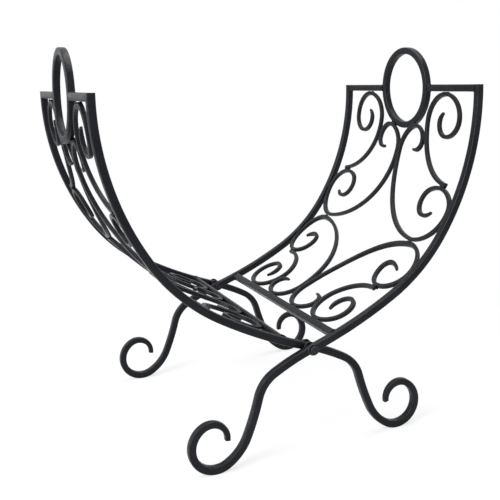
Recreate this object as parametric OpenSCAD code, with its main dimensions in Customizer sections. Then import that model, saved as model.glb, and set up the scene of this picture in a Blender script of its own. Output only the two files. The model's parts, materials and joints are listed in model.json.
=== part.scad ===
// Folding log holder of wrought iron: two alike curved frames that cross at two bolts.
// Millimetres, +Z up, origin on the floor under the middle of the crossing.
// X runs across the cradle, from the left frame to the right one. Y runs from the front to the back.
// The right frame is drawn. The left one is the same frame turned half round the vertical axis, so that
// the turned frame's first rail stands at the back.

/* [Frame bar] */
// Width of the square bar of rails, legs, cross bars and ring handles
bar = 9.5; // [8:0.1:12]
// Width of the flat broken along each long edge of that bar
bar_edge = 1.3; // [0.5:0.1:2]

/* [Scroll bar] */
// Width of the square bar of the scrolls
rod = 5.5; // [4.5:0.1:6.5]
// Gap left for the weld between a scroll and what it touches
weld_gap = 0.3; // [0.1:0.05:0.5]
// Angle that a scroll's long tail runs on past the place where it touches
tail_past = 3; // [1:0.5:5]

/* [Rails] */
// Distance from the front rail to the back rail of one frame, centre to centre
rail_spacing = 335; // [300:1:380]
// Slope of the rail at the pivot, in degrees above level
pivot_slope = 18.3; // [15:0.1:22]
// Radius of the flattest stretch of the rail, from the pivot upwards
low_radius = 591; // [540:1:650]
// Angle that this stretch turns through
low_turn = 11.8; // [10:0.1:14]
// Radius of the rounded stretch in the middle of the rail
mid_radius = 226.5; // [210:0.5:245]
// Angle that this stretch turns through
mid_turn = 25.8; // [22:0.1:30]
// Radius of the top stretch, which ends upright
top_radius = 328; // [300:1:360]

/* [Legs] */
// Radius of the nearly straight start of the leg, below the pivot
leg_radius = 280; // [230:1:340]
// Angle that this start turns through
leg_turn = 11; // [9:0.1:13]
// Radius of the knee that turns the leg down
knee_radius = 43; // [38:0.5:50]
// Angle of the knee
knee_turn = 45.5; // [40:0.5:52]
// Radius of the shin
shin_radius = 320; // [270:1:370]
// Angle of the shin, which bends the other way
shin_turn = 8.4; // [7:0.1:10]
// Radius of the ankle
ankle_radius = 59; // [52:0.5:66]
// Angle of the ankle
ankle_turn = 37; // [33:0.5:41]
// Radius of the scroll foot
foot_radius = 28.3; // [26:0.1:31]
// Angle of the scroll foot at that radius
foot_turn = 175; // [168:1:182]
// Radius of the rolled-in end of the foot
foot_end_radius = 19.7; // [17:0.1:22]
// Angle of the rolled-in end of the foot
foot_end_turn = 134; // [110:1:145]
// Depth of the flat worn under each foot
foot_flat = 0.3; // [0.1:0.05:0.5]

/* [Top and bottom bars] */
// Radius of the ring handle along the middle of its bar
ring_radius = 53.3; // [45:0.1:60]
// Distance along the rail from the pivot to the lower cross bar
cross_bar_reach = 33.5; // [30:0.5:45]

/* [Scroll lattice] */
// Distance along the rail from the pivot to the knee, where the lower scrolls meet the upper ones
knee_reach = 203.5; // [198:0.5:208]

/* [Lower centre scrolls] */
// Radius of the round end by the cross bar
c_hook_radius = 33.2; // [30.5:0.1:36]
// Radius of the hook that this end rolls into
c_hook_in = 12.5; // [10.5:0.1:14.5]
// Radius of the big end by the rail
c_curl_radius = 38; // [34.5:0.1:41.5]
// Radius of the under side of the big end
c_curl_under = 33.1; // [30.5:0.1:36]
// Radius of the inner side of the big end
c_curl_inner = 26.8; // [24:0.1:29.5]
// Radius of the tight turn of the big end
c_curl_tight = 12.3; // [10.5:0.1:14]
// Radius of the open tips of the lower centre scrolls
c_tip = 31; // [26:0.1:36]
// Angle of the round end by the cross bar
c_hook_turn = 138; // [131:1:145]
// Angle of the hook that it rolls into
c_hook_in_turn = 112; // [100:1:124]
// Angle of the open tip of that hook
c_hook_tip_turn = 20; // [10:1:30]
// Angle of the open tip of the big end
c_curl_tip_turn = 41; // [31:1:51]

/* [Lower corner scrolls] */
// Radius of the outer side of the lower corner scrolls
d_curl_radius = 34.1; // [32:0.1:36.5]
// Radius of their under side
d_curl_under = 38; // [36:0.1:40]
// Radius of their inner side
d_curl_inner = 23.2; // [22:0.1:24.5]
// Radius of their rolled-in tip
d_tip = 16.5; // [15:0.1:18]
// Angle of their outer side, from level to the start of the tail
d_rise = 30; // [24:1:36]
// Angle of their under side
d_under_turn = 43; // [38:1:48]
// Angle of their inner side
d_inner_turn = 113; // [106:1:120]
// Angle of their rolled-in tip
d_tip_turn = 157; // [146:1:168]

/* [Upper centre scrolls] */
// Radius of the lower end, by the rail
b_curl_radius = 44.8; // [42:0.1:47.5]
// Radius of the corner where the lower end turns in
b_curl_corner = 26; // [24:0.1:28]
// Radius of the top of the lower end
b_curl_top = 40.2; // [38.5:0.1:42]
// Radius of the tight turn of the lower end
b_curl_tight = 19.5; // [17.5:0.1:21.5]
// Radius of the upper end, under the ring
b_hook_radius = 37; // [34:0.1:40]
// Radius of the turn of the upper end away from the ring
b_hook_corner = 21; // [19:0.1:23]
// Radius of the hook of the upper end
b_hook_in = 12.8; // [11:0.1:14.5]
// Radius of both tips of the upper centre scrolls
b_tip = 18.6; // [16.5:0.1:21]
// Angle of the upper end, before it turns away from the ring
b_hook_turn = 70; // [66:1:74]
// Angle of the tip of the hook
b_hook_tip_turn = 18; // [6:1:30]
// Angle of the corner of the lower end
b_corner_turn = 39; // [35:1:43]
// Angle of the top of the lower end
b_top_turn = 76; // [72:1:80]
// Angle of the tight turn of the lower end
b_tight_turn = 113; // [105:1:121]
// Angle of the tip of the lower end
b_curl_tip_turn = 92; // [80:1:104]

/* [Upper corner scrolls] */
// Radius of the inner side of the upper corner scrolls
a_curl_radius = 38; // [35:0.1:41]
// Radius of their outer shoulder
a_shoulder = 33; // [31:0.1:35]
// Radius of their under side
a_curl_under = 24; // [22:0.1:26]
// Radius of their inner turn
a_curl_inner = 19; // [17.5:0.1:20.5]
// Radius of their rolled-in tip
a_tip = 14.5; // [12.5:0.1:16.5]
// Angle of their rolled-in tip
a_tip_turn = 62; // [50:1:74]

/* [Pivot bolts] */
// Diameter of the bolt
bolt_d = 6; // [5:0.1:7]
// Play of the bolt in the rails, on the radius
bolt_play = 0.05; // [0.02:0.01:0.1]
// Play left beside each rail, along the bolt
side_play = 0.1; // [0.05:0.01:0.2]
// Width of the bolt's head and nut across the flats
hex_flats = 10; // [9:0.1:12]
// Height of the bolt's head
head_height = 4; // [3:0.1:5]
// Thickness of the nut
nut_height = 5; // [4:0.1:6]
// Length of thread that shows past the nut
thread_end = 1.5; // [0.5:0.1:3]
// Outer diameter of the washers
washer_d = 14; // [12:0.1:16]
// Thickness of the washers
washer_height = 1.2; // [0.8:0.1:1.6]
// Play of the washers round the bolt, on the radius
washer_play = 0.2; // [0.1:0.05:0.4]

/* [Hidden] */
$fn = 96;
SIDES = ["right", "left"];
ENDS = ["front", "back"];
SCROLLS = ["lower_centre_scroll", "lower_corner_scroll", "upper_centre_scroll", "upper_corner_scroll"];
WASHERS = ["head_washer", "middle_washer", "nut_washer"];

iron = [0.16, 0.17, 0.18];
iron_scroll = [0.2, 0.21, 0.22];
steel = [0.26, 0.27, 0.28];

// Band that joins two stretches of bent bar
seam_length = 0.3;
seam_proud = 0.01;
// Height of a scroll's wall on each side of its slope, more than the rails bow away from it
wall_reach = 30;

// A chain is a list of [radius, turn] arcs. A positive radius bends to the left of the way it runs.
function dir(h) = [cos(h), sin(h)];
function left_of(h) = [-sin(h), cos(h)];
function turned(arc) = sign(arc[0]) * arc[1];
function arc_centre(p, h, arc) = p + arc[0] * left_of(h);
function arc_end(p, h, arc) = arc_centre(p, h, arc) - arc[0] * left_of(h + turned(arc));
function chain_heading(h, arcs, n) = n == 0 ? h : chain_heading(h + turned(arcs[0]), rest(arcs), n - 1);
function chain_point(p, h, arcs, n) =
    n == 0 ? p : chain_point(arc_end(p, h, arcs[0]), h + turned(arcs[0]), rest(arcs), n - 1);
function rest(list) = len(list) < 2 ? [] : [for (i = [1 : len(list) - 1]) list[i]];

// Radius of the arc that starts at p with its centre along n, and comes to rest against a circle
function touch_radius(p, n, centre, reach) =
    let (d = p - centre) (d * d - reach * reach) / (2 * (reach - d * n));
// Angle from one point to another
function angle_to(a, b) = atan2(b[1] - a[1], b[0] - a[0]);

// Square section with its long edges broken
module section(w, edge) {
    h = w / 2;
    polygon([
        [h, edge - h], [h, h - edge], [h - edge, h], [edge - h, h],
        [-h, h - edge], [-h, edge - h], [edge - h, -h], [h - edge, -h]
    ]);
}

module bend(p, h, arc, w, edge) {
    c = arc_centre(p, h, arc);
    from = arc[0] > 0 ? h - 90 : h + 90 - arc[1];
    translate([c[0], c[1], 0]) rotate([0, 0, from])
        rotate_extrude(angle = arc[1]) translate([abs(arc[0]), 0]) section(w, edge);
}

// Thin band across a bar, a hair proud of it, where two stretches meet
module seam(p, h, w, edge) {
    translate([p[0], p[1], 0]) rotate([0, 0, h]) rotate([90, 0, 90])
        translate([0, 0, -seam_length / 2]) linear_extrude(seam_length) section(w + 2 * seam_proud, edge);
}

// Bar bent along a chain of arcs, each one tangent to the next
module bent_bar(p, h, arcs, w, edge) {
    for (i = [0 : len(arcs) - 1]) {
        bend(chain_point(p, h, arcs, i), chain_heading(h, arcs, i), arcs[i], w, edge);
        seam(chain_point(p, h, arcs, i), chain_heading(h, arcs, i), w, edge);
    }
}

// Straight bar along Y
module bar_y(from, to, w, edge) {
    translate([0, to, 0]) rotate([90, 0, 0]) linear_extrude(to - from) section(w, edge);
}

// Frame: places in the side view, from the pivot, as [across, up]
stagger = bar + washer_height + 2 * side_play;
front_y = -(rail_spacing + stagger) / 2;
rail_arcs = [
    [low_radius, low_turn], [mid_radius, mid_turn],
    [top_radius, 90 - pivot_slope - low_turn - mid_turn]
];
leg_arcs = [
    [leg_radius, leg_turn], [knee_radius, knee_turn], [-shin_radius, shin_turn],
    [-ankle_radius, ankle_turn], [-foot_radius, foot_turn], [-foot_end_radius, foot_end_turn]
];
leg_slope = 180 + pivot_slope;
// Each leg is a solid of its own from its knee down, a weld gap past the end of the rail's straight start
gap_turn = (weld_gap + seam_length / 2) / knee_radius * 180 / PI;
knee_slope = chain_heading(leg_slope, leg_arcs, 1);
leg_from = arc_end(chain_point([0, 0], leg_slope, leg_arcs, 1), knee_slope, [knee_radius, gap_turn]);
knee_arcs = concat([[knee_radius, knee_turn - gap_turn]], rest(rest(leg_arcs)));
rail_top = chain_point([0, 0], pivot_slope, rail_arcs, 3);
foot_start = chain_point([0, 0], leg_slope, leg_arcs, 4);
foot_centre = arc_centre(foot_start, chain_heading(leg_slope, leg_arcs, 4), leg_arcs[4]);
pivot_z = foot_radius + bar / 2 - foot_flat - foot_centre[1];

// Lattice: the scrolls follow the middle of the rails. Their outlines are drawn flat, on slopes that run
// from the cross bar to the knee, from there to the ring, and from the upper centre scrolls to the top bar.
function rail_turn(i, length) = length / rail_arcs[i][0] * 180 / PI;
cross_bar_at = arc_end([0, 0], pivot_slope, [low_radius, rail_turn(0, cross_bar_reach)]);
low_rail = low_radius * low_turn * PI / 180;
mid_from = chain_point([0, 0], pivot_slope, rail_arcs, 1);
mid_heading = chain_heading(pivot_slope, rail_arcs, 1);
knee = arc_end(mid_from, mid_heading, [mid_radius, rail_turn(1, knee_reach - low_rail)]);
low_slope = angle_to(cross_bar_at, knee);
low_length = norm(knee - cross_bar_at);
ring_outer = ring_radius + bar / 2;
// Place of the rail's middle at a height below its top
function rail_below(low) = rail_top - [top_radius - sqrt(pow(top_radius, 2) - pow(low, 2)), low];
mid_slope = angle_to(knee, rail_below(ring_outer));
bend_between = mid_slope - low_slope;
// The ends that meet at the knee are round, and a little aside of each other
knee_nearer = pow(b_curl_radius - c_curl_radius, 2) / (4 * (b_curl_radius + c_curl_radius));
knee_half = rod / 2 * (1 + sin(bend_between / 2)) + weld_gap / 2 - knee_nearer;

rod_reach = rod / 2 + weld_gap;
rail_side = bar / 2 + rod_reach;
centre_side = rail_spacing / 2 - rod_reach + weld_gap / 2;
half_spacing = rail_spacing / 2;

// Lower centre scroll, in its plane as [from the rail, up the slope]
c_low = bar / 2 + rod_reach;
c_top = low_length - knee_half;
c_hook_at = [centre_side - c_hook_radius, c_low + c_hook_radius];
c_curl_at = [rail_side + c_curl_radius, c_top - c_curl_radius];
function bow_radius(hook_at, curl_at, curl_r, right) =
    let (a = curl_at[0] - right, b = curl_at[1] - hook_at[1])
    (a * a + b * b - curl_r * curl_r) / (-2 * (a + curl_r));
c_bow = bow_radius(c_hook_at, c_curl_at, c_curl_radius, centre_side);
c_bow_turn = angle_to([centre_side - c_bow, c_hook_at[1]], c_curl_at);
c_hook_arcs = [[-c_hook_radius, c_hook_turn], [-c_hook_in, c_hook_in_turn], [-c_tip, c_hook_tip_turn]];
c_curl_arcs = [
    [c_bow, c_bow_turn], [c_curl_radius, 180 - c_bow_turn], [c_curl_under, 90],
    [c_curl_inner, 90], [c_curl_tight, 90], [c_tip, c_curl_tip_turn]
];
c_start = [centre_side, c_hook_at[1]];
c_under_at = [rail_side + c_curl_under, c_curl_at[1]];
c_hook_in_at = c_hook_at + (c_hook_radius - c_hook_in) * dir(-c_hook_turn);

// Lower corner scroll
d_curl_z = c_low + d_curl_radius;
d_gap = d_curl_radius + c_hook_in + rod + weld_gap;
d_curl_at = [c_hook_in_at[0] - sqrt(pow(d_gap, 2) - pow(d_curl_z - c_hook_in_at[1], 2)), d_curl_z];
d_tail_from = d_curl_at + d_curl_radius * dir(d_rise);
d_reach = c_curl_under + rod + weld_gap;
d_tail = touch_radius(d_tail_from, -dir(d_rise), c_under_at, d_reach);
d_tail_turn = angle_to(d_tail_from - d_tail * dir(d_rise), c_under_at) - d_rise;
d_start = d_curl_at + [d_curl_radius, 0];
d_tail_arcs = [[d_curl_radius, d_rise], [d_tail, d_tail_turn + tail_past]];
d_curl_arcs = [
    [-d_curl_radius, 90], [-d_curl_under, d_under_turn],
    [-d_curl_inner, d_inner_turn], [-d_tip, d_tip_turn]
];

// Upper centre scroll
b_curl_at = [rail_side + b_curl_radius, knee_half + b_curl_radius];
b_hook_y = centre_side - b_hook_radius;
b_hook_reach = b_hook_radius + rod_reach;
ring_contact = asin((half_spacing - b_hook_y) / (ring_outer + b_hook_reach));
ring_touch = rail_top - [bar / 2 - bar_edge, ring_outer * cos(ring_contact)];
b_hook_at = [b_hook_y, (ring_touch - knee) * dir(mid_slope) - b_hook_reach * cos(ring_contact)];
b_bow = bow_radius(b_hook_at, b_curl_at, b_curl_radius, centre_side);
b_bow_turn = -angle_to([centre_side - b_bow, b_hook_at[1]], b_curl_at);
b_start = [centre_side, b_hook_at[1]];
b_hook_arcs = [
    [b_hook_radius, b_hook_turn], [b_hook_corner, 180 - b_hook_turn],
    [b_hook_in, 90], [b_tip, b_hook_tip_turn]
];
b_curl_arcs = [
    [-b_bow, b_bow_turn], [-b_curl_radius, 180 - b_bow_turn], [-b_curl_corner, b_corner_turn],
    [-b_curl_top, b_top_turn], [-b_curl_tight, b_tight_turn], [-b_tip, b_curl_tip_turn]
];
b_corner_at = [rail_side + b_curl_corner, b_curl_at[1]];
b_top_at = b_corner_at - (b_curl_top - b_curl_corner) * dir(180 - b_corner_turn);
b_hook_side = b_hook_at[0] + (b_hook_radius - b_hook_corner) * cos(b_hook_turn) - b_hook_corner;

// Upper corner scroll, whose slope starts over the top of the upper centre scroll's lower end
top_run = b_top_at[1] + b_curl_top;
top_foot = knee + top_run * dir(mid_slope) - arc_centre(rail_top, 90, rail_arcs[2]);
top_out = -top_foot * left_of(mid_slope);
top_lift = top_out - sqrt(pow(top_out, 2) + pow(top_radius, 2) - top_foot * top_foot);
top_start = knee + top_run * dir(mid_slope) + top_lift * left_of(mid_slope);
under_bar = [rail_top[0], rail_top[1] - bar / 2];
top_slope = angle_to(top_start, under_bar);
a_top = norm(under_bar - top_start) - rod / 2 * (1 + cos(top_slope)) - weld_gap;
a_start = [b_hook_side - rod - weld_gap, a_top - a_curl_radius];
a_reach = b_curl_top + rod + weld_gap + rod / 2 * sin(top_slope - mid_slope);
a_under_at = [b_top_at[0], -b_curl_top];
a_tail = touch_radius(a_start, [-1, 0], a_under_at, a_reach);
a_tail_turn = -angle_to(a_start - [a_tail, 0], a_under_at);
a_tail_arcs = [[-a_tail, a_tail_turn + tail_past]];
a_curl_arcs = [
    [a_curl_radius, 90], [a_shoulder, 90], [a_curl_under, 90], [a_curl_inner, 90], [a_tip, a_tip_turn]
];

// Side view drawn upright, with its thickness along Y, round a rail's middle
module upright(y) {
    translate([0, front_y + y, pivot_z]) rotate([90, 0, 0]) children();
}

// Slope of a scroll: x runs from the front rail to the back, y up the slope
module on_slope(start, slope) {
    translate([start[0], front_y, pivot_z + start[1]])
        rotate([0, 180 - slope, 0]) rotate([0, 0, 90]) children();
}

// Sheet that follows the middle of the rails, as thick as the scroll bar
module sheet() {
    upright(half_spacing) for (i = [0 : len(rail_arcs) - 1]) {
        p = chain_point([0, 0], pivot_slope, rail_arcs, i);
        h = chain_heading(pivot_slope, rail_arcs, i);
        c = arc_centre(p, h, rail_arcs[i]);
        translate([c[0], c[1], 0]) rotate([0, 0, h - 90]) rotate_extrude(angle = rail_arcs[i][1])
            translate([rail_arcs[i][0] - rod / 2, -half_spacing]) square([rod, rail_spacing]);
        wall_seam(p, h, half_spacing + seam_proud);
    }
}

// Wall that stands on a slope along an arc, as wide as the scroll bar
module wall(p, h, arc) {
    c = arc_centre(p, h, arc);
    from = arc[0] > 0 ? h - 90 : h + 90 - arc[1];
    translate([c[0], c[1], 0]) rotate([0, 0, from]) rotate_extrude(angle = arc[1])
        translate([abs(arc[0]) - rod / 2, -wall_reach]) square([rod, 2 * wall_reach]);
}

// Thin band across a wall or the sheet, a hair proud of it, where two stretches meet
module wall_seam(p, h, reach) {
    translate([p[0], p[1], 0]) rotate([0, 0, h]) translate([-seam_length / 2, -rod / 2 - seam_proud, -reach])
        cube([seam_length, rod + 2 * seam_proud, 2 * reach]);
}

module bent_wall(p, h, arcs) {
    for (i = [0 : len(arcs) - 1]) {
        wall(chain_point(p, h, arcs, i), chain_heading(h, arcs, i), arcs[i]);
        wall_seam(chain_point(p, h, arcs, i), chain_heading(h, arcs, i), wall_reach);
    }
}

// The back half mirrors the front half of the same frame
module half(end) {
    if (end == "front") children();
    else translate([0, -stagger, 0]) mirror([0, 1, 0]) children();
}

module side(s) {
    rotate([0, 0, s == "left" ? 180 : 0]) children();
}

// The end of the drawn frame that comes to lie at this end of the holder
function drawn_end(s, e) = s == "right" ? e : e == "front" ? "back" : "front";

module rail(end) {
    color(iron) upright(end == "front" ? 0 : rail_spacing) difference() {
        union() {
            bent_bar([0, 0], pivot_slope, rail_arcs, bar, bar_edge);
            bent_bar([0, 0], leg_slope, [leg_arcs[0]], bar, bar_edge);
            seam(rail_top, 90, bar, bar_edge);
            translate([rail_top[0], rail_top[1], 0]) rotate([-90, 0, 0])
                linear_extrude(bar / 2) section(bar, bar_edge);
        }
        cylinder(r = bolt_d / 2 + bolt_play, h = 2 * bar, center = true);
    }
}

module leg(end) {
    color(iron) upright(end == "front" ? 0 : rail_spacing) difference() {
        bent_bar(leg_from, knee_slope + gap_turn, knee_arcs, bar, bar_edge);
        translate([foot_centre[0] - foot_radius, -pivot_z - bar, -bar])
            cube([2 * foot_radius, bar, 2 * bar]);
    }
}

module top_bar(end) {
    color(iron) half(end) translate([rail_top[0], front_y, pivot_z + rail_top[1]])
        bar_y(bar / 2, half_spacing - ring_outer, bar, bar_edge);
}

module ring_handle() {
    color(iron) translate([rail_top[0], front_y + half_spacing, pivot_z + rail_top[1]]) rotate([0, 90, 0])
        rotate_extrude() translate([ring_radius, 0]) section(bar, bar_edge);
}

module cross_bar() {
    color(iron) translate([cross_bar_at[0], front_y, pivot_z + cross_bar_at[1]]) rotate([0, -low_slope, 0])
        bar_y(bar / 2, rail_spacing - bar / 2, bar, bar_edge);
}

// A scroll starts where it is nearest the middle and runs both ways from there. It is what a wall bent to
// its outline shares with the sheet, so that it follows the curve of the rails.
module scroll(start, slope, from, arcs_up, arcs_down) {
    color(iron_scroll) intersection() {
        sheet();
        on_slope(start, slope) {
            bent_wall(from, 90, arcs_up);
            bent_wall(from, 270, arcs_down);
        }
    }
}

module lower_centre_scroll(end) {
    half(end) scroll(cross_bar_at, low_slope, c_start, c_curl_arcs, c_hook_arcs);
}

module lower_corner_scroll(end) {
    half(end) scroll(cross_bar_at, low_slope, d_start, d_tail_arcs, d_curl_arcs);
}

module upper_centre_scroll(end) {
    half(end) scroll(knee, mid_slope, b_start, b_hook_arcs, b_curl_arcs);
}

module upper_corner_scroll(end) {
    half(end) scroll(top_start, top_slope, a_start, a_curl_arcs, a_tail_arcs);
}

// Pivot: the front bolt enters from the front, and the back one is turned half round
module pivot(end) {
    rotate([0, 0, end == "back" ? 180 : 0]) translate([0, front_y - bar / 2, pivot_z])
        rotate([-90, 0, 0]) children();
}

head_at = -side_play - washer_height;
nut_at = 2 * bar + 3 * side_play + 2 * washer_height;

module hexagon(height) {
    cylinder(d = hex_flats / cos(30), h = height, $fn = 6);
}

module ring_washer() {
    difference() {
        cylinder(d = washer_d, h = washer_height);
        translate([0, 0, -1]) cylinder(r = bolt_d / 2 + washer_play, h = washer_height + 2);
    }
}

module bolt(end) {
    color(steel) pivot(end) {
        translate([0, 0, head_at - head_height]) hexagon(head_height);
        translate([0, 0, head_at]) cylinder(d = bolt_d, h = nut_at - head_at + nut_height + thread_end);
    }
}

module nut(end) {
    color(steel) pivot(end) translate([0, 0, nut_at]) difference() {
        hexagon(nut_height);
        translate([0, 0, -1]) cylinder(r = bolt_d / 2 + bolt_play, h = nut_height + 2);
    }
}

module head_washer(end) {
    color(steel) pivot(end) translate([0, 0, head_at]) ring_washer();
}

module middle_washer(end) {
    color(steel) pivot(end) translate([0, 0, bar + side_play]) ring_washer();
}

module nut_washer(end) {
    color(steel) pivot(end) translate([0, 0, nut_at - washer_height]) ring_washer();
}

for (s = SIDES) {
    for (e = ENDS) {
        d = drawn_end(s, e);
        side(s) rail(d);
        side(s) leg(d);
        side(s) top_bar(d);
        side(s) lower_centre_scroll(d);
        side(s) lower_corner_scroll(d);
        side(s) upper_centre_scroll(d);
        side(s) upper_corner_scroll(d);
    }
    side(s) ring_handle();
    side(s) cross_bar();
}
for (e = ENDS) {
    bolt(e);
    head_washer(e);
    middle_washer(e);
    nut_washer(e);
    nut(e);
}
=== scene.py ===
import json

import bmesh
import bpy
import numpy as np
from mathutils import Matrix, Vector


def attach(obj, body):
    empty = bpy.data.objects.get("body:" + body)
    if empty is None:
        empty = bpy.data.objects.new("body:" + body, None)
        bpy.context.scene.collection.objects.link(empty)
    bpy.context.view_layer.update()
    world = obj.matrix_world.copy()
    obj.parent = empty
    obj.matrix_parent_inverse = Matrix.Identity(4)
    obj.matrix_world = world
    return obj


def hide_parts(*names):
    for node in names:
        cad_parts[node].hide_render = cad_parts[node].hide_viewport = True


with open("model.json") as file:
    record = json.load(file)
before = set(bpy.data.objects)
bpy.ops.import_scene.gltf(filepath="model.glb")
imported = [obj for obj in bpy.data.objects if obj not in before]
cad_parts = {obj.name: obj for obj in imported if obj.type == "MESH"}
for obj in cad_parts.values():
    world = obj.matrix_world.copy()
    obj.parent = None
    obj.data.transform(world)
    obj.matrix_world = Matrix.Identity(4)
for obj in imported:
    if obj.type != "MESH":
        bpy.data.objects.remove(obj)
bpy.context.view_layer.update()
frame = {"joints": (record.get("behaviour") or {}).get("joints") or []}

# Rails with their legs, in millimetres like all that follows. Each is one square bar of mild steel, bent
# hot from the top corner of its frame, over the bolt at the crossing, down to a foot rolled into a scroll
# whose end is drawn out a little thinner. The frames are welded up first and then painted satin black.
BAR = 9.5
BAR_ROUND = 0.9
CUT_ROUND = 0.25
RAIL_SPACING = 335.0
FRAME_STAGGER = 10.9
BOLT_HEIGHT = frame["joints"][0]["pos_m"][2] * 1000
SLOPE_AT_BOLT = 18.3
RAIL_BENDS = [(591.0, 11.8), (226.5, 25.8), (328.0, 34.1)]
LEG_BENDS = [(280.0, 11.0), (43.0, 45.5), (-320.0, 8.4), (-59.0, 37.0), (-28.3, 175.0), (-19.7, 134.0)]
RAIL_STEP = 2.0
FOOT_DRAWN_OUT = 0.32
FOOT_DRAWN_LENGTH = 75.0
HAMMER_SPACINGS = (7.3, 11.9)
HAMMER_SWING = 0.003
PAINT_SHINE = 0.13
PAINT_CLOUDS = 1.7
FRONT = -(RAIL_SPACING + FRAME_STAGGER) / 2
SIDES = ("right", "left")
ENDS = ("front", "back")
# The ends of the holder at which the drawn front and back halves of each frame lie
OWN_ENDS = {"right": ("front", "back"), "left": ("back", "front")}


def bent_line(start, heading, bends, step):
    """Middle line of a bar that is bent in one plane, as places and headings.
    Each bend is a radius and an angle, and a radius above nought bends to the left of the way it runs.
    The heading grows evenly with the length run, and the place is the bend's start plus the radius times
    the change of the direction that lies to the left of the heading."""
    radius, turn = np.array(bends, float).T
    turn = np.sign(radius) * np.radians(turn)
    ends = np.concatenate(([0.0], np.cumsum(radius * turn)))
    heads = np.radians(heading) + np.concatenate(([0.0], np.cumsum(turn)))
    left = np.stack((-np.sin(heads), np.cos(heads)), 1)
    starts = np.array(start, float) + np.cumsum(
        np.concatenate((np.zeros((1, 2)), radius[:, None] * (left[:-1] - left[1:]))), 0)
    run = np.linspace(0.0, ends[-1], int(ends[-1] / step) + 2)
    i = np.clip(np.searchsorted(ends, run, "right") - 1, 0, len(radius) - 1)
    head = heads[i] + (run - ends[i]) / radius[i]
    place = starts[i] + radius[i, None] * (left[i] - np.stack((-np.sin(head), np.cos(head)), 1))
    return place, head


def both_ways(start, heading, bends_on, bends_back, step):
    """One line that runs from the far end of bends_back, through the start, to the far end of bends_on."""
    back, back_head = bent_line(start, heading + 180.0, bends_back, step)
    on, on_head = bent_line(start, heading, bends_on, step)
    return (np.concatenate((back[:0:-1], on)),
            np.concatenate((back_head[:0:-1] - np.pi, on_head)))


def run_along(places):
    """Length run at each place of a line, the sum of the steps before it."""
    return np.concatenate(([0.0], np.cumsum(np.linalg.norm(np.diff(places, axis=0), axis=1))))


def drawn_out(run, length):
    """How far a bar is drawn out: 1 at its tip, falling to 0 at length with the power 1.5 of what is left."""
    return np.clip(1 - run / length, 0.0, 1.0) ** 1.5


def hammered(run, spacing, mean=0.006, swing=0.005):
    """Share of the stock's width that the hammer leaves: 1 less the mean, and less the swing times the
    sine of the run over the spacing."""
    return 1 - mean - swing * np.sin(run / spacing)


def handed(points, side, end, direction=False):
    """Carries points from the front half of the right frame, where all is drawn, to their own quarter.
    The back half of a frame is its front half mirrored in the frame's middle, and the left frame is the
    right one turned half round the upright axis."""
    mirrored = (side == "right") == (end == "back")
    turned = side == "left"
    sign = np.array([-1.0 if turned else 1.0, -1.0 if mirrored != turned else 1.0, 1.0])
    shift = 0.0 if direction or not mirrored else FRAME_STAGGER if turned else -FRAME_STAGGER
    return np.asarray(points, float) * sign + np.array([0.0, shift, 0.0])


def skin(rings, sides, closed=False):
    """Faces between the rings of a grid whose points follow each other round each ring in turn. A closed
    grid also joins its last ring to its first."""
    i = np.arange(rings if closed else rings - 1)[:, None]
    k = np.arange(sides)[None]
    near, far, ahead = i * sides, (i + 1) % rings * sides, (k + 1) % sides
    return np.stack((near + k, near + ahead, far + ahead, far + k), -1).reshape(-1, 4)


def fans(rings, sides):
    """Faces that close the first and last rings of such a grid onto the two points that come after it."""
    k = np.arange(sides)
    ahead, last, tip = (k + 1) % sides, (rings - 1) * sides, np.full(sides, rings * sides)
    return np.concatenate((np.stack((tip, ahead, k), 1), np.stack((tip + 1, last + k, last + ahead), 1)))


def iron_piece(name, verts, faces, edge):
    """Object with its place in its mesh, smooth faces, and the attribute edge on its points."""
    mesh = bpy.data.meshes.new(name)
    mesh.from_pydata((np.asarray(verts) * 0.001).tolist(), [], faces)
    mesh.polygons.foreach_set("use_smooth", np.ones(len(faces), bool))
    attribute = mesh.attributes.new("edge", "FLOAT", "POINT")
    attribute.data.foreach_set("value", np.asarray(edge, np.float32))
    mesh.update()
    piece = bpy.data.objects.new(name, mesh)
    bpy.context.scene.collection.objects.link(piece)
    return piece


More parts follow.
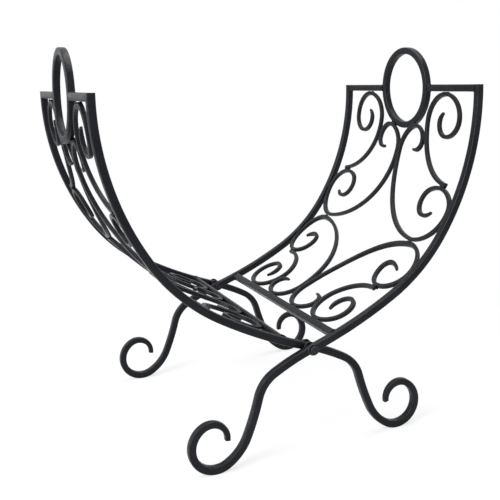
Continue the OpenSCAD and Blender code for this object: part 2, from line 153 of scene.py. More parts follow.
def forged_bar(name, places, ways, flat, width, rounding, face=None, closed=False, sides=32):
    """Square bar carried along its middle line.
    Round the bar, at angle t, a point lies half a width times the cube root of cos t to one side and half
    a width times the cube root of sin t to the other: a square with crowned faces and rounded edges.
    The sides stay along flat, and the two faces square to face, which is flat itself in a plain bar: flat
    is divided by its share along face, and the way across slides along flat until it is square to face.
    At a cut end the last rings draw in by the rounding along a quarter circle, and a fan closes it.
    The attribute edge is 1 on the rounded edges, at least 0.97 round a cut end, and falls to 0 in the
    middle of each face."""
    places, ways = np.asarray(places, float), np.asarray(ways, float)
    width = np.broadcast_to(width, len(places)).astype(float)
    inset = np.zeros(len(places))
    flat = np.broadcast_to(np.asarray(flat, float), places.shape)
    face = flat if face is None else np.asarray(face, float)
    if not closed:
        begin, finish = np.broadcast_to(rounding, 2)
        run = run_along(places)
        # Rings that stand in a rounded end, or hard by it, give way to the rings of the rounding
        keep = (run > begin * 1.2) & (run < run[-1] - finish * 1.2)
        quarter = np.radians([0.0, 30.0, 60.0, 90.0])
        reach, draw = 1 - np.sin(quarter), 1 - np.cos(quarter)
        first = places[0] + ways[0] * begin * reach[::-1, None]
        last = places[-1] - ways[-1] * finish * reach[:, None]
        places = np.concatenate((first, places[keep], last))
        ways, flat, face, width = (
            np.concatenate((np.repeat(a[:1], len(quarter), 0), a[keep], np.repeat(a[-1:], len(quarter), 0)))
            for a in (ways, flat, face, width))
        inset = np.concatenate((begin * draw[::-1], np.zeros(keep.sum()), finish * draw))
    across = np.cross(flat, ways)
    across /= np.linalg.norm(across, axis=1)[:, None]
    flat = flat / np.sum(flat * face, 1)[:, None]
    across = across - flat * np.sum(across * face, 1)[:, None]
    t = np.arange(sides) * 2 * np.pi / sides
    cos, sin = np.round(np.cos(t), 9), np.round(np.sin(t), 9)
    u, v = np.sign(cos) * np.abs(cos) ** (1 / 3), np.sign(sin) * np.abs(sin) ** (1 / 3)
    half = (width / 2 - inset)[:, None, None]
    grid = places[:, None] + half * (u[:, None] * across[:, None] + v[:, None] * flat[:, None])
    edge = np.broadcast_to(np.minimum(abs(u), abs(v)) / 2 ** (-1 / 6), grid.shape[:2]).copy()
    edge[inset > 0] = np.maximum(edge[inset > 0], 0.97)
    rings = len(places)
    verts, edge, faces = grid.reshape(-1, 3), edge.ravel(), skin(rings, sides, closed).tolist()
    if not closed:
        verts = np.concatenate((verts, places[:1], places[-1:]))
        edge = np.concatenate((edge, [0.0, 0.0]))
        faces += fans(rings, sides).tolist()
    return iron_piece(name, verts, faces, edge)


def shader_node(tree, kind, inputs, **settings):
    """New node of a shader tree. Each input is the socket that feeds it, or the value that it holds."""
    made = tree.nodes.new("ShaderNode" + kind)
    for setting, value in settings.items():
        setattr(made, setting, value)
    for socket, value in inputs.items():
        if isinstance(value, bpy.types.NodeSocket):
            tree.links.new(value, made.inputs[socket])
        else:
            made.inputs[socket].default_value = value
    return made


def satin_black(name, deep, worn, roughness, forging, grain):
    """Satin black paint on forged iron, all on Object coordinates, with scales that count to the metre.
    Colour: broad clouds between deep and PAINT_CLOUDS times it, and worn where the attribute edge is near 1
    and a patchy noise lets it show. Bump: forging is the height of soft dents a few millimetres wide, and
    grain the height of the fine pimples of the paint. The gloss changes with a noise of its own."""
    paint = bpy.data.materials.new(name)
    paint.use_nodes = True
    tree = paint.node_tree
    shader = tree.nodes["Principled BSDF"]
    shader.inputs["Specular IOR Level"].default_value = PAINT_SHINE
    coords = shader_node(tree, "TexCoord", {}).outputs["Object"]

    def noise(scale, detail, rough=0.5):
        inputs = {"Vector": coords, "Scale": scale, "Detail": detail, "Roughness": rough}
        return shader_node(tree, "TexNoise", inputs).outputs["Fac"]

    def spread(value, span, onto):
        inputs = {"Value": value, "From Min": span[0], "From Max": span[1],
                  "To Min": onto[0], "To Max": onto[1]}
        return shader_node(tree, "MapRange", inputs, interpolation_type="SMOOTHSTEP").outputs["Result"]

    def mixed(share, first, second):
        inputs = {"Factor": share, "A": first, "B": second}
        return shader_node(tree, "Mix", inputs, data_type="RGBA").outputs["Result"]

    near_edge = shader_node(tree, "Attribute", {}, attribute_name="edge").outputs["Fac"]
    edges = spread(near_edge, span=(0.86, 1.0), onto=(0.0, 1.0))
    patches = spread(noise(scale=120.0, detail=4.0, rough=0.6), span=(0.34, 0.66), onto=(0.25, 1.0))
    rubbed = shader_node(tree, "Math", {0: edges, 1: patches}, operation="MULTIPLY").outputs["Value"]
    clouds = spread(noise(scale=28.0, detail=3.0), span=(0.3, 0.7), onto=(0.0, 1.0))
    lighter = tuple(PAINT_CLOUDS * c for c in deep)
    body = mixed(clouds, (*deep, 1.0), (*lighter, 1.0))
    smeared = noise(scale=240.0, detail=3.0)
    gloss = spread(smeared, span=(0.3, 0.7), onto=(roughness - 0.06, roughness + 0.08))
    inputs = {"Height": noise(scale=190.0, detail=1.5), "Strength": 0.5, "Distance": forging}
    dents = shader_node(tree, "Bump", inputs).outputs["Normal"]
    inputs = {"Height": noise(scale=1500.0, detail=2.0), "Strength": 0.35, "Distance": grain,
              "Normal": dents}
    pimples = shader_node(tree, "Bump", inputs).outputs["Normal"]
    tree.links.new(mixed(rubbed, body, (*worn, 1.0)), shader.inputs["Base Color"])
    tree.links.new(gloss, shader.inputs["Roughness"])
    tree.links.new(pimples, shader.inputs["Normal"])
    return paint


def finish_piece(piece, material, side, slot, *nodes):
    """Paints a piece, hangs it on its frame, and lets it stand for its CAD nodes."""
    piece.data.materials.append(material)
    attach(piece, side + "_frame")
    if nodes:
        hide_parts(*nodes)


def flatten_foot(rail):
    """Wears a small flat under the foot: each height below the floor becomes the floor's."""
    points = np.empty(3 * len(rail.data.vertices), np.float32)
    rail.data.vertices.foreach_get("co", points)
    points[2::3] = np.maximum(points[2::3], 0.0)
    rail.data.vertices.foreach_set("co", points)


frame_paint = satin_black("satin_black_frame", deep=(0.0046, 0.0055, 0.0072), worn=(0.04, 0.042, 0.045),
                          roughness=0.34, forging=0.0009, grain=0.0002)

rail_line, rail_head = both_ways((0.0, 0.0), SLOPE_AT_BOLT, RAIL_BENDS, LEG_BENDS, RAIL_STEP)
RAIL_TOP = rail_line[-1]
rail_line = np.concatenate((rail_line, [RAIL_TOP + [0.0, BAR / 2]]))
rail_head = np.concatenate((rail_head, rail_head[-1:]))
rail_run = run_along(rail_line)
near_spacing, far_spacing = HAMMER_SPACINGS
worked = (hammered(rail_run, near_spacing, HAMMER_SWING, HAMMER_SWING)
          + hammered(rail_run + far_spacing, far_spacing, HAMMER_SWING, HAMMER_SWING) - 1)
rail_width = BAR * (1 - FOOT_DRAWN_OUT * drawn_out(rail_run, FOOT_DRAWN_LENGTH)) * worked
rail_places = np.stack((rail_line[:, 0], np.full(len(rail_line), FRONT), BOLT_HEIGHT + rail_line[:, 1]), 1)
rail_ways = np.stack((np.cos(rail_head), np.zeros(len(rail_head)), np.sin(rail_head)), 1)
for side in SIDES:
    for end in ENDS:
        rail = forged_bar(
            f"{side}_{end}_rail_iron", handed(rail_places, side, end), handed(rail_ways, side, end, True),
            (0.0, 1.0, 0.0), rail_width, (BAR_ROUND, CUT_ROUND))
        flatten_foot(rail)
        finish_piece(rail, frame_paint, side, "frame_bar", f"{side}_{end}_rail", f"{side}_{end}_leg")

# Top bars. A straight piece of the same square bar closes the top of each frame, from the inner face of
# a rail to the ring handle, welded at both ends and dressed flush with the rail.
RING_RADIUS = 53.3
TOP_HAMMER_SPACING = 6.1
TOP_RINGS = 40


def line_across(middle, start, stop, count):
    """Straight line along Y through a place of the side view, as places and ways."""
    y = np.linspace(start, stop, count)
    places = np.stack((np.full(count, middle[0]), y, np.full(count, BOLT_HEIGHT + middle[1])), 1)
    return places, np.repeat([[0.0, 1.0, 0.0]], count, 0)


ring_side = FRONT + RAIL_SPACING / 2 - (RING_RADIUS + BAR / 2)
top_places, top_ways = line_across(RAIL_TOP, FRONT + BAR / 2, ring_side, TOP_RINGS)
top_width = BAR * hammered(top_places[:, 1], TOP_HAMMER_SPACING)
for side in SIDES:
    for end in ENDS:
        top_bar = forged_bar(
            f"{side}_{end}_top_bar_iron", handed(top_places, side, end), handed(top_ways, side, end, True),
            (1.0, 0.0, 0.0), top_width, CUT_ROUND)
        finish_piece(top_bar, frame_paint, side, "frame_bar", f"{side}_{end}_top_bar")

# Ring handles. The same bar is bent round into a ring, welded shut and set upright in the middle of each
# top, where it is the handle of that frame.
RING_RINGS = 180
RING_HAMMER_BLOWS = 7
round_ring = np.arange(RING_RINGS) * 2 * np.pi / RING_RINGS
ring_cos, ring_sin, zero = np.cos(round_ring), np.sin(round_ring), np.zeros(RING_RINGS)
hub = np.array([RAIL_TOP[0], FRONT + RAIL_SPACING / 2, BOLT_HEIGHT + RAIL_TOP[1]])
ring_places = hub + RING_RADIUS * np.stack((zero, ring_cos, ring_sin), 1)
ring_ways = np.stack((zero, -ring_sin, ring_cos), 1)
ring_width = BAR * hammered(round_ring, 1 / RING_HAMMER_BLOWS)
for side, (end, _) in OWN_ENDS.items():
    ring = forged_bar(
        f"{side}_ring_handle_iron", handed(ring_places, side, end), handed(ring_ways, side, end, True),
        (1.0, 0.0, 0.0), ring_width, BAR_ROUND, closed=True)
    finish_piece(ring, frame_paint, side, "frame_bar", f"{side}_ring_handle")

# Lower cross bars. One straight square bar ties the two rails of each frame just above the bolts, turned
# to the slope of the scrolls that are welded along it.
LOW_SLOPE = 32.839
CROSS_BAR_AT = np.array([31.491, 11.414])
CROSS_HAMMER_SPACING = 8.7
CROSS_RINGS = 90
cross_places, cross_ways = line_across(
    CROSS_BAR_AT, FRONT + BAR / 2, FRONT + RAIL_SPACING - BAR / 2, CROSS_RINGS)
cross_width = BAR * hammered(cross_places[:, 1], CROSS_HAMMER_SPACING)


def above_slope(slope):
    """Direction that stands square on a slope, on the side of the logs."""
    return np.array([-np.sin(np.radians(slope)), 0.0, np.cos(np.radians(slope))])


for side, (end, _) in OWN_ENDS.items():
    cross_bar = forged_bar(
        f"{side}_cross_bar_iron", handed(cross_places, side, end), handed(cross_ways, side, end, True),
        handed(above_slope(LOW_SLOPE), side, end, True), cross_width, CUT_ROUND)
    finish_piece(cross_bar, frame_paint, side, "frame_bar", f"{side}_cross_bar")

# Scrolls. Each is a length of thin square bar bent both ways from the place where it lies nearest the
# middle of its frame, with the tips drawn out thinner, and then dished to the curve of the rails. They fill
# the frame from the cross bar to the top bar, welded where they touch the rails, the bars and each other.
ROD = 5.5
ROD_ROUND = 0.5
SCROLL_STEP = 1.25
TIP_DRAWN_OUT = 0.4
TIP_DRAWN_LENGTH = 16.0
ROD_HAMMER = {"spacing": 5.7, "mean": 0.008, "swing": 0.007}
BOTH_TIPS, FIRST_TIP, LAST_TIP = (1, 1), (1, 0), (0, 1)
KNEE = np.array([172.727, 102.572])
MID_SLOPE = 65.988
TOP_START = np.array([213.785, 171.432])
TOP_SLOPE = 77.778
# Where the slope starts in the side view, the slope, the tips that are drawn out, the flat place that the
# bends start from, and the bends that go up the slope from there and down it
SCROLLS = {
    "lower_centre_scroll": (
        CROSS_BAR_AT, LOW_SLOPE, BOTH_TIPS, (164.6, 41.0),
        [(123.69, 86.73), (38.0, 93.27), (33.1, 90.0), (26.8, 90.0), (12.3, 90.0), (31.0, 41.0)],
        [(-33.2, 138.0), (-12.5, 112.0), (-31.0, 20.0)]),
    "lower_corner_scroll": (
        CROSS_BAR_AT, LOW_SLOPE, FIRST_TIP, (99.84, 41.9),
        [(34.1, 30.0), (57.62, 65.65)],
        [(-34.1, 90.0), (-38.0, 43.0), (-23.2, 113.0), (-16.5, 157.0)]),
    "upper_centre_scroll": (
        KNEE, MID_SLOPE, BOTH_TIPS, (164.6, 124.2),
        [(37.0, 70.0), (21.0, 110.0), (12.8, 90.0), (18.6, 18.0)],
        [(-121.22, 83.07), (-44.8, 96.93), (-26.0, 39.0), (-40.2, 76.0), (-19.5, 113.0), (-18.6, 92.0)]),
    "upper_corner_scroll": (
        TOP_START, TOP_SLOPE, LAST_TIP, (106.27, 87.79),
        [(38.0, 90.0), (33.0, 90.0), (24.0, 90.0), (19.0, 90.0), (14.5, 62.0)],
        [(-83.27, 83.32)]),
}


def dished(start, slope, outline, heads):
    """Carries a flat outline to the curve of the rails, as places, ways and the square of its faces.
    The first number of a flat point runs from the front rail to the back one, and the second up the slope.
    Each point moves square off the slope until it meets the rails' middle line, so a way gains the fall of
    that line times its share up the slope, and the bar's faces tilt from the slope by the same fall."""
    up = np.array([np.cos(np.radians(slope)), np.sin(np.radians(slope))])
    out = np.array([-up[1], up[0]])
    from_start = rail_line - start
    along, off = from_start @ up, from_start @ out
    fall = np.gradient(off, along)
    lift, tilt = np.interp(outline[:, 1], along, off), np.interp(outline[:, 1], along, fall)
    side_view = start + outline[:, 1:] * up + lift[:, None] * out
    places = np.stack((side_view[:, 0], FRONT + outline[:, 0], BOLT_HEIGHT + side_view[:, 1]), 1)
    rise = np.sin(heads)[:, None] * (up + tilt[:, None] * out)
    ways = np.stack((rise[:, 0], np.cos(heads), rise[:, 1]), 1)
    faces = above_slope(slope) - tilt[:, None] * [up[0], 0.0, up[1]]
    return places, *(a / np.linalg.norm(a, axis=1)[:, None] for a in (ways, faces))


scroll_paint = satin_black("satin_black_scrolls", deep=(0.0052, 0.0061, 0.0078), worn=(0.04, 0.042, 0.045),
                           roughness=0.34, forging=0.0007, grain=0.0002)
scroll_lines = {}
for kind, (start, slope, tips, nearest, bends_up, bends_down) in SCROLLS.items():
    line, head = both_ways(nearest, 90.0, bends_up, bends_down, SCROLL_STEP)
    run = run_along(line)
    drawn = (tips[0] * drawn_out(run, TIP_DRAWN_LENGTH)
             + tips[1] * drawn_out(run[-1] - run, TIP_DRAWN_LENGTH))
    width = ROD * (1 - TIP_DRAWN_OUT * drawn) * hammered(run, **ROD_HAMMER)
    places, ways, faces = scroll_lines[kind] = dished(start, slope, line, head)
    for side in SIDES:
        for end in ENDS:
            flat = handed(above_slope(slope), side, end, True)
            scroll = forged_bar(
                f"{side}_{end}_{kind}_iron", handed(places, side, end), handed(ways, side, end, True),
                flat, width, ROD_ROUND, handed(faces, side, end, True))
            finish_piece(scroll, scroll_paint, side, "scroll_bar", f"{side}_{end}_{kind}")

# Welds. Short beads of weld metal join the scrolls to what they touch, above and below each contact, and
# run round the ends of the cross bars and top bars. They are left as welded and painted over.
SCROLL_WELD_LENGTH = 9.5
BAR_WELD_LENGTH = BAR * 0.9
WELD_WIDTH = 3.0
WELD_HEIGHT = 2.4
WELD_LEAN = 0.9
WELD_SUNK = 0.4
WELD_STEP = 0.5
WELD_RIPPLE = 1.15
WELD_SWELL = 0.05
WELD_BOW = 0.5
WELD_BLUNTNESS = 0.6
WELD_RUBBED = 0.7
CREST_RUBBED = 3.0
# The scroll, what it is welded to, and the stretch of the scroll, from 0 to 1, on which they touch
SCROLL_WELDS = [
    ("lower_centre_scroll", "twin", 0.0, 1.0),
    ("lower_centre_scroll", "cross_bar", 0.0, 1.0),
    ("lower_centre_scroll", "rail", 0.0, 1.0),
    ("lower_centre_scroll", "upper_centre_scroll", 0.0, 1.0),
    ("lower_corner_scroll", "cross_bar", 0.0, 1.0),
    ("lower_corner_scroll", "lower_centre_scroll", 0.0, 0.9),
    ("lower_corner_scroll", "lower_centre_scroll", 0.97, 1.0),
    ("upper_centre_scroll", "twin", 0.0, 1.0),
    ("upper_centre_scroll", "rail", 0.0, 1.0),
    ("upper_centre_scroll", "ring_handle", 0.0, 1.0),
    ("upper_corner_scroll", "top_bar", 0.0, 1.0),
    ("upper_corner_scroll", "upper_centre_scroll", 0.0, 0.03),
    ("upper_corner_scroll", "upper_centre_scroll", 0.1, 1.0),
]
# Each drawn bar's places, ways, square of its faces and width
laid = {
    "rail": (rail_places, rail_ways, np.array([[0.0, 1.0, 0.0]]), BAR),
    "cross_bar": (cross_places, cross_ways, above_slope(LOW_SLOPE)[None], BAR),
    "top_bar": (top_places, top_ways, np.array([[1.0, 0.0, 0.0]]), BAR),
    "ring_handle": (ring_places, ring_ways, np.array([[1.0, 0.0, 0.0]]), BAR),
    **{kind: (*lines, ROD) for kind, lines in scroll_lines.items()},
}


def weld_beads(name, middles, alongs, acrosses, length, rings=46, sides=18):
    """Beads of weld metal, all in one mesh. Each is an egg whose long axis lies along the joint: at angle v
    from one tip to the other and angle u round it, a point lies minus half the length times cos v along
    the joint, and half the width times cos u and half the height times sin u off it, both times sin v to
    the power of the bluntness. Ripples, bowed at the sides, swell it, and their crests rub brighter."""
    beads = len(middles)
    v = (np.arange(rings) + 1)[:, None] * np.pi / (rings + 1)
    u = np.arange(sides)[None] * 2 * np.pi / sides
    run = -length / 2 * np.cos(v)
    ripple = WELD_SWELL * np.cos(2 * np.pi * (run + WELD_BOW * np.cos(u) ** 2) / WELD_RIPPLE)
    girth = np.sin(v) ** WELD_BLUNTNESS * (1 + ripple)
    alongs, acrosses, middles = (np.asarray(a, float)[:, None, None] for a in (alongs, acrosses, middles))
    grid = (middles + alongs * run[..., None] + acrosses * (WELD_WIDTH / 2 * np.cos(u) * girth)[..., None]
            + np.cross(alongs, acrosses) * (WELD_HEIGHT / 2 * np.sin(u) * girth)[..., None])
    tips = middles[:, 0] + np.array([-1.0, 1.0])[:, None] * length / 2 * alongs[:, 0]
    verts = np.concatenate((grid.reshape(beads, -1, 3), tips), 1)
    first = np.arange(beads)[:, None, None] * verts.shape[1]
    faces = ((skin(rings, sides)[None] + first).reshape(-1, 4).tolist()
             + (fans(rings, sides)[None] + first).reshape(-1, 3).tolist())
    rubbed = np.broadcast_to(WELD_RUBBED + CREST_RUBBED * ripple, grid.shape[:3]).reshape(beads, -1)
    edge = np.concatenate((rubbed, np.zeros((beads, 2))), 1)
    return iron_piece(name, verts.reshape(-1, 3), faces, edge.ravel())


def contact(piece, partner, start, stop):
    """Where a scroll comes nearest to its partner: the places of its upper and lower weld, the way along
    the joint, and the direction towards the partner. A weld lies level with the lower of the two tops, or
    with the higher of the two undersides, and leans over the bar that ends there."""
    places, ways, faces, width = laid[piece]
    if partner == "twin":
        others, wide = handed(places, "right", "back"), width
    else:
        others, wide = laid[partner][0], laid[partner][3]
    first, last = int(start * len(places)), int(stop * len(places))
    apart = np.linalg.norm(places[first:last, None] - others[None], axis=2)
    here, there = np.unravel_index(apart.argmin(), apart.shape)
    middle, along, flat = places[first + here], ways[first + here], faces[first + here]
    across = others[there] - middle
    over = across @ flat
    towards = np.cross(flat, along)
    towards = towards * np.sign(across @ towards)
    spots = []
    for face in (1, -1):
        own, other = face * width / 2, over + face * wide / 2
        step = face * (other - own)
        stepped = abs(step) > WELD_STEP
        lean = -WELD_LEAN * np.sign(step) * stepped
        height = (own if step > 0 else other) - face * WELD_SUNK * (not stepped)
        spots.append(middle + towards * (width / 2 + lean) + flat * height)
    return spots, along, towards


def butt_welds(bar, tip, faces):
    """Welds round one tip of a straight bar, one along each of the named faces."""
    places, ways, (flat,), width = laid[bar]
    sideways = np.cross(flat, ways[tip])
    outs = {"top": flat, "under": -flat, "left": sideways, "right": -sideways}
    return [(places[tip] + outs[face] * width / 2, np.cross(outs[face], ways[tip]), ways[tip])
            for face in faces]


def sealed(piece):
    """Merges the points that lie on each other at seams and poles, and turns every face outwards."""
    bm = bmesh.new()
    bm.from_mesh(piece.data)
    bmesh.ops.remove_doubles(bm, verts=bm.verts, dist=1e-7)
    bmesh.ops.recalc_face_normals(bm, faces=bm.faces)
    bm.to_mesh(piece.data)
    bm.free()
    return piece


scroll_spots = []
for piece, partner, start, stop in SCROLL_WELDS:
    spots, along, towards = contact(piece, partner, start, stop)
    halves = (0,) if partner == "twin" else (0, 1)
    scroll_spots += [(spot, along, towards, half) for spot in spots for half in halves]
top_welds = (butt_welds("top_bar", 0, ("right", "under"))
             + butt_welds("top_bar", -1, ("left", "right", "under")))
cross_welds = [weld for tip in (0, -1) for weld in butt_welds("cross_bar", tip, ("top", "left", "right"))]
bar_spots = [(*weld, half) for half in (0, 1) for weld in top_welds] + [(*weld, 0) for weld in cross_welds]
for side in SIDES:
    for name, spots, length in (("scroll_welds", scroll_spots, SCROLL_WELD_LENGTH),
                                ("bar_welds", bar_spots, BAR_WELD_LENGTH)):
        middles, alongs, acrosses = (
            [handed(spot[i], side, OWN_ENDS[side][spot[-1]], i > 0) for spot in spots] for i in range(3))
        beads = sealed(weld_beads(f"{side}_{name}_iron", middles, alongs, acrosses, length))
        finish_piece(beads, frame_paint, side, "frame_bar")

# Pivot bolts. A hexagon bolt holds the frames together at each crossing, with a washer under its head,
# one between the rails and one under the nut. The front bolt enters from the front and the back one from
# the back. They are steel, painted over with the rest and rubbed brighter by the spanner.
BOLT = 6.0
HEX_FLATS = 10.0
HEX_CORNER = 5.8
HEAD_HEIGHT = 4.0
UNDER_HEAD = 0.97
NUT_HEIGHT = 5.0
NUT_CHAMFER = 0.7
THREAD_SHOWN = 1.5
THREAD_PITCH = 1.0
THREAD_DEPTH = 0.35
SHANK_SLACK = 0.02
NUT_SLACK = 0.05
WASHER = 14.0
WASHER_BORE = 6.4
WASHER_HEIGHT = 1.2
SIDE_PLAY = 0.1
TURNED_SIDES = 96
SHAFT_RINGS = 240


def turned_piece(name, end, radius, height, edge):
    """Surface round a bolt's axis, from radius and height over a grid of rings and angles, whose first
    and last rings are poles or meet each other. Angles run round the axis, and height runs from the outer
    face of the outer rail into the frame. A height or edge of one column is the same all round."""
    rings, sides = radius.shape
    t = np.arange(sides) * 2 * np.pi / sides
    into = 1.0 if end == "front" else -1.0
    x, z = radius * np.cos(t), radius * np.sin(t)
    y = into * (FRONT - BAR / 2 + np.broadcast_to(height, radius.shape))
    verts = np.stack((x * into, y, BOLT_HEIGHT + z), -1).reshape(-1, 3)
    faces = skin(rings, sides)[:, [0, 3, 2, 1]].tolist()
    return sealed(iron_piece(name, verts, faces, np.broadcast_to(edge, radius.shape).ravel()))


def hexagon_radius(t, flats):
    """Distance from the middle of a hexagon to its side, in the direction t."""
    return flats / 2 / np.cos((t + np.pi / 6) % (np.pi / 3) - np.pi / 6)


def column(*values):
    """Values for the rings of a turned piece, one below the other."""
    return np.array(values, float)[:, None]


bolt_paint = satin_black("blackened_bolts", deep=(0.01, 0.0105, 0.0115), worn=(0.06, 0.062, 0.065),
                         roughness=0.38, forging=0.0002, grain=0.00012)
head_at = -SIDE_PLAY - WASHER_HEIGHT
nut_at = 2 * BAR + 3 * SIDE_PLAY + 2 * WASHER_HEIGHT
angles = np.arange(TURNED_SIDES) * 2 * np.pi / TURNED_SIDES
hexagon = hexagon_radius(angles, HEX_FLATS)[None]

head_rise = column(0, 0, 0, 0.12, 0.35, 0.6, 0.85, 3.6, HEAD_HEIGHT, HEAD_HEIGHT)
head_cone = column(0, 4.3, 4.72, 4.95, 5.2, 5.45, HEX_CORNER, HEX_CORNER, 5.55, BOLT / 2)
head_radius = np.minimum(head_cone, hexagon * np.where(head_rise == HEAD_HEIGHT, UNDER_HEAD, 1.0))
head_radius[-1] = BOLT / 2
shaft = np.linspace(head_at, nut_at + NUT_HEIGHT + THREAD_SHOWN, SHAFT_RINGS)[:, None]
# A thread is a zigzag of the height less the share of a turn, and the shank ahead of it is smooth
thread = BOLT / 2 - THREAD_DEPTH * np.abs(2 * ((shaft / THREAD_PITCH - angles / (2 * np.pi)) % 1.0) - 1)
thread = np.where(shaft < BAR, BOLT / 2 - SHANK_SLACK, thread)
thread[-1] = BOLT / 2 - THREAD_DEPTH
bolt_radius = np.concatenate((head_radius, thread, np.zeros((1, TURNED_SIDES))))
bolt_height = np.concatenate((head_at - HEAD_HEIGHT + head_rise, shaft, shaft[-1:]))
head_edge = column(0, 0.3, 0.9, 1, 0.95, 0.9, 0.4, 0.3, 0.6, 0)
bolt_edge = np.concatenate((head_edge, np.zeros((SHAFT_RINGS + 1, 1))))

nut_rise = column(0, 0, NUT_CHAMFER / 2, NUT_CHAMFER, NUT_HEIGHT - NUT_CHAMFER, NUT_HEIGHT - NUT_CHAMFER / 2,
                  NUT_HEIGHT, NUT_HEIGHT, 0)
nut_bore = BOLT / 2 + NUT_SLACK
nut_radius = np.minimum(
    column(nut_bore, 5.0, 5.4, HEX_CORNER, HEX_CORNER, 5.4, 5.0, nut_bore, nut_bore), hexagon)
nut_edge = column(0, 0.9, 1, 0.5, 0.5, 1, 0.9, 0.6, 0)

washer_rise = column(0, 0, 0.15, 0.5, 0.85, 1, 1, 0) * WASHER_HEIGHT
washer_out = column(WASHER_BORE, 13.6, 13.94, WASHER, 13.94, 13.6, WASHER_BORE, WASHER_BORE) / 2
washer_radius = np.repeat(washer_out, TURNED_SIDES, 1)
washer_edge = column(0.5, 0.9, 1, 0.95, 1, 0.9, 0.5, 0.5)
washer_places = {"head_washer": head_at, "middle_washer": BAR + SIDE_PLAY,
                 "nut_washer": nut_at - WASHER_HEIGHT}
for end in ENDS:
    bolt = turned_piece(f"{end}_bolt_steel", end, bolt_radius, bolt_height, bolt_edge)
    finish_piece(bolt, bolt_paint, "right", "fastener", f"{end}_bolt")
    nut = turned_piece(f"{end}_nut_steel", end, nut_radius, nut_at + nut_rise, nut_edge)
    finish_piece(nut, bolt_paint, "right", "fastener", f"{end}_nut")
    for name, at in washer_places.items():
        washer = turned_piece(f"{end}_{name}_steel", end, washer_radius, at + washer_rise, washer_edge)
        finish_piece(washer, bolt_paint, "right", "fastener", f"{end}_{name}")

# Floor, light and camera, in metres. A wide pale floor under a plain soft studio light, whose shadow fades
# to white away from the holder, and the camera where it stood for the photograph.
FLOOR = 12.0
WHITE = (1.0, 1.0, 1.0, 1.0)
FLOOR_PALE = (0.9, 0.9, 0.9, 1.0)
ROOM_COOL = (0.97, 0.98, 1.0, 1.0)
SHADOW_FULL, SHADOW_GONE = 0.3, 1.1
WHITENED_NEAR = 0.72
ROOM_LIGHT = 0.36
PHOTO_SIZE = 500
FOCAL_LENGTH = 788.65
OPTIC_CENTRE = (298.06, 193.65)
SENSOR = 36.0
CAMERA_PLACE = (-0.39712, -0.98415, BOLT_HEIGHT / 1000 + 0.31606)
YAW, PITCH, ROLL = np.radians([25.275, 8.165, -1.028])

mesh = bpy.data.meshes.new("floor")
mesh.from_pydata([(-FLOOR, -FLOOR, 0), (FLOOR, -FLOOR, 0), (FLOOR, FLOOR, 0), (-FLOOR, FLOOR, 0)], [],
                 [(0, 1, 2, 3)])
floor = bpy.data.objects.new("floor", mesh)
bpy.context.scene.collection.objects.link(floor)
pale = bpy.data.materials.new("pale_floor")
pale.use_nodes = True
tree = pale.node_tree
matt = tree.nodes["Principled BSDF"]
for socket, value in (("Base Color", FLOOR_PALE), ("Roughness", 1.0), ("Specular IOR Level", 0.0)):
    matt.inputs[socket].default_value = value
white = shader_node(tree, "Emission", {"Color": WHITE})
ground = shader_node(tree, "TexCoord", {}).outputs["Object"]
away = shader_node(tree, "VectorMath", {0: ground}, operation="LENGTH").outputs["Value"]
fade = shader_node(tree, "MapRange", {
    "Value": away, "From Min": SHADOW_FULL, "From Max": SHADOW_GONE, "To Min": WHITENED_NEAR, "To Max": 1.0,
}, interpolation_type="SMOOTHSTEP").outputs["Result"]
ray = shader_node(tree, "LightPath", {})
share = shader_node(tree, "Math", {0: ray.outputs["Is Camera Ray"], 1: fade}, operation="MULTIPLY").outputs[0]
blend = shader_node(tree, "MixShader", {"Fac": share, 1: matt.outputs[0], 2: white.outputs[0]})
tree.links.new(blend.outputs[0], tree.nodes["Material Output"].inputs["Surface"])
floor.data.materials.append(pale)

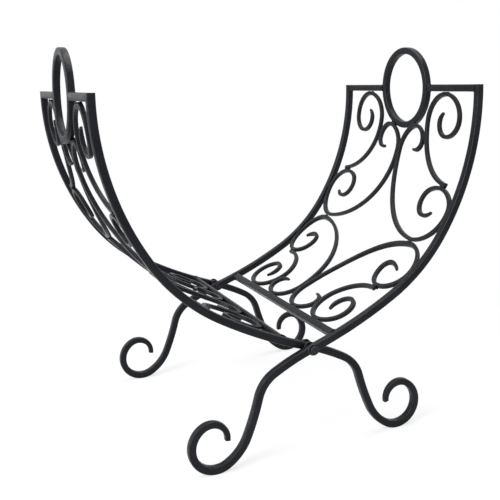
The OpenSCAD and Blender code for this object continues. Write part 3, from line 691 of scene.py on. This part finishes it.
world = bpy.data.worlds.new("studio")
bpy.context.scene.world = world
world.use_nodes = True
tree = world.node_tree
room = tree.nodes["Background"]
room.inputs["Color"].default_value = ROOM_COOL
room.inputs["Strength"].default_value = ROOM_LIGHT
shown = shader_node(tree, "Background", {"Color": WHITE, "Strength": 1.0})
ray = shader_node(tree, "LightPath", {})
share = ray.outputs["Is Camera Ray"]
for kind in ("Is Glossy Ray", "Is Transmission Ray"):
    share = shader_node(tree, "Math", {0: share, 1: ray.outputs[kind]}, operation="MAXIMUM").outputs[0]
blend = shader_node(tree, "MixShader", {"Fac": share, 1: room.outputs[0], 2: shown.outputs[0]})
tree.links.new(blend.outputs[0], tree.nodes["World Output"].inputs["Surface"])


def soft_box(name, place, target, size, power):
    """Square area lamp at a place, facing a target."""
    data = bpy.data.lights.new(name, "AREA")
    data.shape = "SQUARE"
    data.size = size
    data.energy = power
    lamp = bpy.data.objects.new(name, data)
    lamp.location = place
    lamp.rotation_euler = (Vector(target) - Vector(place)).to_track_quat("-Z", "Y").to_euler()
    bpy.context.scene.collection.objects.link(lamp)


soft_box("left_soft_box", (-1.7, -0.9, 1.5), target=(0, 0, 0.25), size=1.2, power=54)
soft_box("top_soft_box", (0.3, 0.2, 2.2), target=(0, 0, 0.2), size=1.4, power=34)
soft_box("right_soft_box", (1.6, -1.6, 0.9), target=(0, 0, 0.25), size=1.2, power=4)

ahead = np.array([np.sin(YAW) * np.cos(PITCH), np.cos(YAW) * np.cos(PITCH), -np.sin(PITCH)])
level = np.array([np.cos(YAW), -np.sin(YAW), 0.0])
above = np.cross(level, ahead)
right = np.cos(ROLL) * level + np.sin(ROLL) * above
upward = -np.sin(ROLL) * level + np.cos(ROLL) * above
eye = bpy.data.cameras.new("camera")
eye.sensor_width = SENSOR
eye.lens = FOCAL_LENGTH / PHOTO_SIZE * SENSOR
eye.shift_x = (PHOTO_SIZE / 2 - OPTIC_CENTRE[0]) / PHOTO_SIZE
eye.shift_y = (OPTIC_CENTRE[1] - PHOTO_SIZE / 2) / PHOTO_SIZE
eye.clip_start = 0.02
camera = bpy.data.objects.new("camera", eye)
axes = np.column_stack((right, upward, -ahead, CAMERA_PLACE))
camera.matrix_world = Matrix(np.vstack((axes, (0.0, 0.0, 0.0, 1.0))).tolist())
bpy.context.scene.collection.objects.link(camera)
bpy.context.scene.camera = camera
bpy.context.scene.view_settings.view_transform = "Standard"
